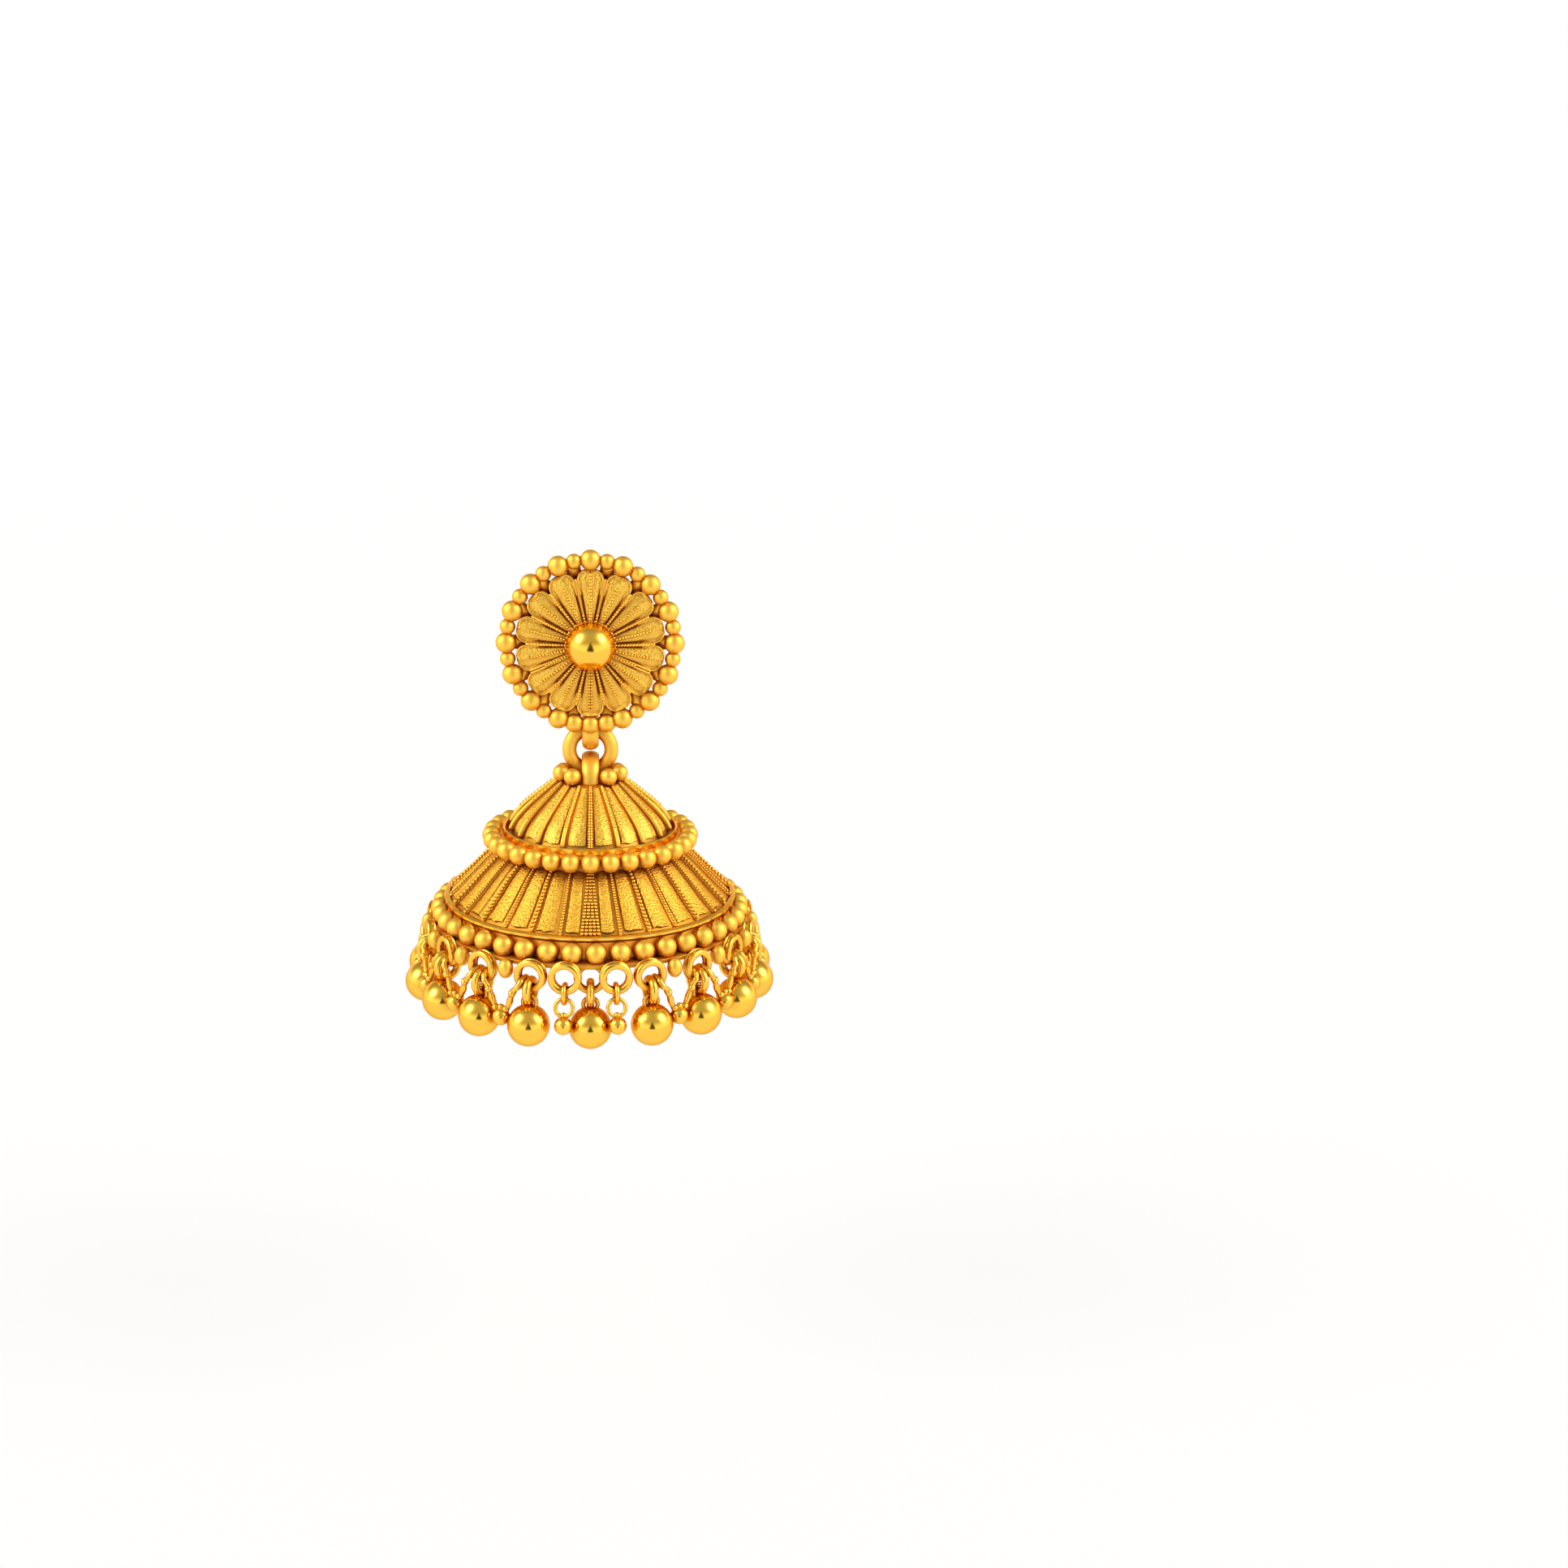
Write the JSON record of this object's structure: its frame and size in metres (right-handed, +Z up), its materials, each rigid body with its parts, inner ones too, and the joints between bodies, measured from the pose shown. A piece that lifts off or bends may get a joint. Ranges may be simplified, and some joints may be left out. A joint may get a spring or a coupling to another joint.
{
  "type": "jhumka earring",
  "caption": "Bell-shaped drop earring: a flower stud with an ear post, a jump ring, and a two-tier bell with beaded rims and a fringe of hanging balls.",
  "frame": {"origin": "where the ear post leaves the stud's flat back", "axes": "+Z up along the bell's axis, -Y out of the flower's face, +Y along the ear post, +X to the viewer's right"},
  "size_m": [0.0372, 0.0367, 0.0462],
  "materials": {
    "stippled_gold": "satin",
    "polished_gold": "polished"
  },
  "bodies": {
    "stud": {"stud": "stippled_gold"},
    "ring": {"jump_ring": "polished_gold"},
    "bell": {"bell": "stippled_gold", "big_drop_01": "polished_gold", "big_drop_02": "polished_gold", "big_drop_03": "polished_gold", "big_drop_04": "polished_gold", "big_drop_05": "polished_gold", "big_drop_06": "polished_gold", "big_drop_07": "polished_gold", "big_drop_08": "polished_gold", "big_drop_09": "polished_gold", "big_drop_10": "polished_gold", "big_drop_11": "polished_gold", "big_drop_12": "polished_gold", "big_drop_13": "polished_gold", "big_drop_14": "polished_gold", "big_drop_15": "polished_gold", "big_drop_16": "polished_gold", "big_drop_17": "polished_gold", "big_drop_18": "polished_gold", "small_drop_01": "polished_gold", "small_drop_02": "polished_gold", "small_drop_03": "polished_gold", "small_drop_04": "polished_gold", "small_drop_05": "polished_gold", "small_drop_06": "polished_gold", "small_drop_07": "polished_gold", "small_drop_08": "polished_gold", "small_drop_09": "polished_gold", "small_drop_10": "polished_gold", "small_drop_11": "polished_gold", "small_drop_12": "polished_gold", "small_drop_13": "polished_gold", "small_drop_14": "polished_gold", "small_drop_15": "polished_gold", "small_drop_16": "polished_gold", "small_drop_17": "polished_gold", "small_drop_18": "polished_gold"}
  },
  "joints": [
    {"name": "ring_swing", "type": "hinge", "parent": "stud", "child": "ring", "pos_m": [0, 0, -0.00916], "axis": [1, 0, 0], "range_deg": [-30, 30]},
    {"name": "bell_sway", "type": "hinge", "parent": "ring", "child": "bell", "pos_m": [0, 0, -0.01125], "axis": [0, 1, 0], "range_deg": [-25, 25]}
  ]
}
